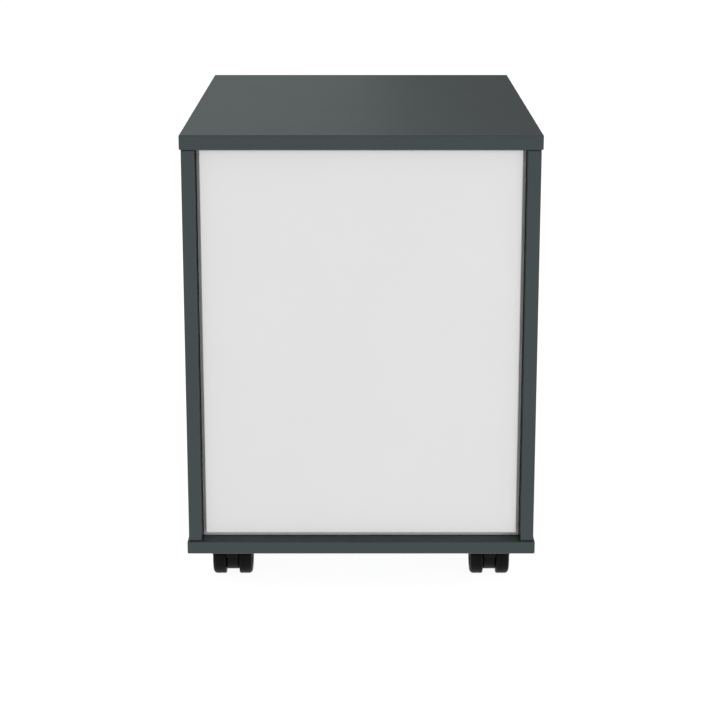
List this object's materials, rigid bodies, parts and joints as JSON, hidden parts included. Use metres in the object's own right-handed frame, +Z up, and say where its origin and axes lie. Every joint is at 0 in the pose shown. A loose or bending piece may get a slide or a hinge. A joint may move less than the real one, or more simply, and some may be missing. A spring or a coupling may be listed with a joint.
{
  "type": "mobile filing cabinet",
  "caption": "Low two-tone steel filing cabinet on swivelling twin-wheel castors, with box drawers, a hanging-file drawer and a central lock.",
  "frame": {"origin": "on the floor under the middle of the cabinet's bounding box, handles included", "axes": "+Z up; -Y is the front with the drawers and handles, +Y is the recessed back panel; +X is to the right of somebody facing the drawers"},
  "size_m": [0.43, 0.626, 0.58],
  "materials": {
    "grey_green_paint": "satin powder coat, dark grey with a green cast",
    "white_paint": "satin powder coat, neutral white",
    "zinc_plate": "bright zinc plate",
    "satin_steel": "satin",
    "chrome": "polished",
    "black_plastic": "fine grained",
    "wheel_plastic": "smooth, slightly worn",
    "cast_weight": "rough"
  },
  "bodies": {
    "carcass": {"top_panel": "grey_green_paint", "base_panel": "grey_green_paint", "left_side_panel": "grey_green_paint", "right_side_panel": "grey_green_paint", "back_panel": "white_paint", "counterweight": "cast_weight", "file_drawer_left_slide_outer": "zinc_plate", "file_drawer_right_slide_outer": "zinc_plate", "middle_drawer_left_slide_outer": "zinc_plate", "middle_drawer_right_slide_outer": "zinc_plate", "top_drawer_left_slide_outer": "zinc_plate", "top_drawer_right_slide_outer": "zinc_plate", "front_left_castor_plate": "zinc_plate", "front_right_castor_plate": "zinc_plate", "rear_left_castor_plate": "zinc_plate", "rear_right_castor_plate": "zinc_plate"},
    "file_drawer": {"file_drawer_front": "white_paint", "file_drawer_tray": "grey_green_paint", "file_drawer_handle": "satin_steel", "file_drawer_left_slide_inner": "zinc_plate", "file_drawer_right_slide_inner": "zinc_plate", "left_file_rail": "zinc_plate", "right_file_rail": "zinc_plate"},
    "file_drawer_slide_middles": {"file_drawer_left_slide_middle": "zinc_plate", "file_drawer_right_slide_middle": "zinc_plate"},
    "middle_drawer": {"middle_drawer_front": "white_paint", "middle_drawer_tray": "grey_green_paint", "middle_drawer_handle": "satin_steel", "middle_drawer_left_slide_inner": "zinc_plate", "middle_drawer_right_slide_inner": "zinc_plate"},
    "middle_drawer_slide_middles": {"middle_drawer_left_slide_middle": "zinc_plate", "middle_drawer_right_slide_middle": "zinc_plate"},
    "top_drawer": {"top_drawer_front": "white_paint", "top_drawer_tray": "grey_green_paint", "top_drawer_handle": "satin_steel", "top_drawer_left_slide_inner": "zinc_plate", "top_drawer_right_slide_inner": "zinc_plate", "pen_tray": "black_plastic", "lock_housing": "chrome"},
    "top_drawer_slide_middles": {"top_drawer_left_slide_middle": "zinc_plate", "top_drawer_right_slide_middle": "zinc_plate"},
    "lock_plug": {"lock_plug": "chrome", "lock_key": "satin_steel"},
    "lock_bar": {"lock_bar": "zinc_plate"},
    "front_left_castor_swivel": {"front_left_castor_housing": "black_plastic", "front_left_castor_axle": "zinc_plate"},
    "front_left_castor_left_wheel": {"front_left_castor_left_wheel": "wheel_plastic"},
    "front_left_castor_right_wheel": {"front_left_castor_right_wheel": "wheel_plastic"},
    "front_right_castor_swivel": {"front_right_castor_housing": "black_plastic", "front_right_castor_axle": "zinc_plate"},
    "front_right_castor_left_wheel": {"front_right_castor_left_wheel": "wheel_plastic"},
    "front_right_castor_right_wheel": {"front_right_castor_right_wheel": "wheel_plastic"},
    "rear_left_castor_swivel": {"rear_left_castor_housing": "black_plastic", "rear_left_castor_axle": "zinc_plate"},
    "rear_left_castor_left_wheel": {"rear_left_castor_left_wheel": "wheel_plastic"},
    "rear_left_castor_right_wheel": {"rear_left_castor_right_wheel": "wheel_plastic"},
    "rear_right_castor_swivel": {"rear_right_castor_housing": "black_plastic", "rear_right_castor_axle": "zinc_plate"},
    "rear_right_castor_left_wheel": {"rear_right_castor_left_wheel": "wheel_plastic"},
    "rear_right_castor_right_wheel": {"rear_right_castor_right_wheel": "wheel_plastic"}
  },
  "joints": [
    {"name": "file_drawer_travel", "type": "slide", "parent": "carcass", "child": "file_drawer", "axis": [0, -1, 0], "range_m": [0, 0.45]},
    {"name": "file_drawer_slide_middles_travel", "type": "slide", "parent": "carcass", "child": "file_drawer_slide_middles", "axis": [0, -1, 0], "range_m": [0, 0.225]},
    {"name": "middle_drawer_travel", "type": "slide", "parent": "carcass", "child": "middle_drawer", "axis": [0, -1, 0], "range_m": [0, 0.45]},
    {"name": "middle_drawer_slide_middles_travel", "type": "slide", "parent": "carcass", "child": "middle_drawer_slide_middles", "axis": [0, -1, 0], "range_m": [0, 0.225]},
    {"name": "top_drawer_travel", "type": "slide", "parent": "carcass", "child": "top_drawer", "axis": [0, -1, 0], "range_m": [0, 0.45]},
    {"name": "top_drawer_slide_middles_travel", "type": "slide", "parent": "carcass", "child": "top_drawer_slide_middles", "axis": [0, -1, 0], "range_m": [0, 0.225]},
    {"name": "lock_turn", "type": "hinge", "parent": "top_drawer", "child": "lock_plug", "pos_m": [0.194, -0.277, 0.541], "axis": [0, -1, 0], "range_deg": [0, 90]},
    {"name": "lock_bar_lift", "type": "slide", "parent": "carcass", "child": "lock_bar", "axis": [0, 0, 1], "range_m": [0, 0.009]},
    {"name": "front_left_castor_swivel", "type": "hinge", "parent": "carcass", "child": "front_left_castor_swivel", "pos_m": [-0.164, -0.217, 0.05], "axis": [0, 0, 1], "continuous": true},
    {"name": "front_left_castor_left_wheel_spin", "type": "hinge", "parent": "front_left_castor_swivel", "child": "front_left_castor_left_wheel", "pos_m": [-0.164, -0.237, 0.025], "axis": [1, 0, 0], "continuous": true},
    {"name": "front_left_castor_right_wheel_spin", "type": "hinge", "parent": "front_left_castor_swivel", "child": "front_left_castor_right_wheel", "pos_m": [-0.164, -0.237, 0.025], "axis": [1, 0, 0], "continuous": true},
    {"name": "front_right_castor_swivel", "type": "hinge", "parent": "carcass", "child": "front_right_castor_swivel", "pos_m": [0.164, -0.217, 0.05], "axis": [0, 0, 1], "continuous": true},
    {"name": "front_right_castor_left_wheel_spin", "type": "hinge", "parent": "front_right_castor_swivel", "child": "front_right_castor_left_wheel", "pos_m": [0.164, -0.237, 0.025], "axis": [1, 0, 0], "continuous": true},
    {"name": "front_right_castor_right_wheel_spin", "type": "hinge", "parent": "front_right_castor_swivel", "child": "front_right_castor_right_wheel", "pos_m": [0.164, -0.237, 0.025], "axis": [1, 0, 0], "continuous": true},
    {"name": "rear_left_castor_swivel", "type": "hinge", "parent": "carcass", "child": "rear_left_castor_swivel", "pos_m": [-0.164, 0.243, 0.05], "axis": [0, 0, 1], "continuous": true},
    {"name": "rear_left_castor_left_wheel_spin", "type": "hinge", "parent": "rear_left_castor_swivel", "child": "rear_left_castor_left_wheel", "pos_m": [-0.164, 0.223, 0.025], "axis": [1, 0, 0], "continuous": true},
    {"name": "rear_left_castor_right_wheel_spin", "type": "hinge", "parent": "rear_left_castor_swivel", "child": "rear_left_castor_right_wheel", "pos_m": [-0.164, 0.223, 0.025], "axis": [1, 0, 0], "continuous": true},
    {"name": "rear_right_castor_swivel", "type": "hinge", "parent": "carcass", "child": "rear_right_castor_swivel", "pos_m": [0.164, 0.243, 0.05], "axis": [0, 0, 1], "continuous": true},
    {"name": "rear_right_castor_left_wheel_spin", "type": "hinge", "parent": "rear_right_castor_swivel", "child": "rear_right_castor_left_wheel", "pos_m": [0.164, 0.223, 0.025], "axis": [1, 0, 0], "continuous": true},
    {"name": "rear_right_castor_right_wheel_spin", "type": "hinge", "parent": "rear_right_castor_swivel", "child": "rear_right_castor_right_wheel", "pos_m": [0.164, 0.223, 0.025], "axis": [1, 0, 0], "continuous": true}
  ],
  "couplings": [
    {"joint": "file_drawer_slide_middles_travel", "follows": "file_drawer_travel", "ratio": 0.5},
    {"joint": "middle_drawer_slide_middles_travel", "follows": "middle_drawer_travel", "ratio": 0.5},
    {"joint": "top_drawer_slide_middles_travel", "follows": "top_drawer_travel", "ratio": 0.5},
    {"joint": "lock_turn", "follows": "lock_bar_lift", "rad_per_m": 174.53}
  ]
}
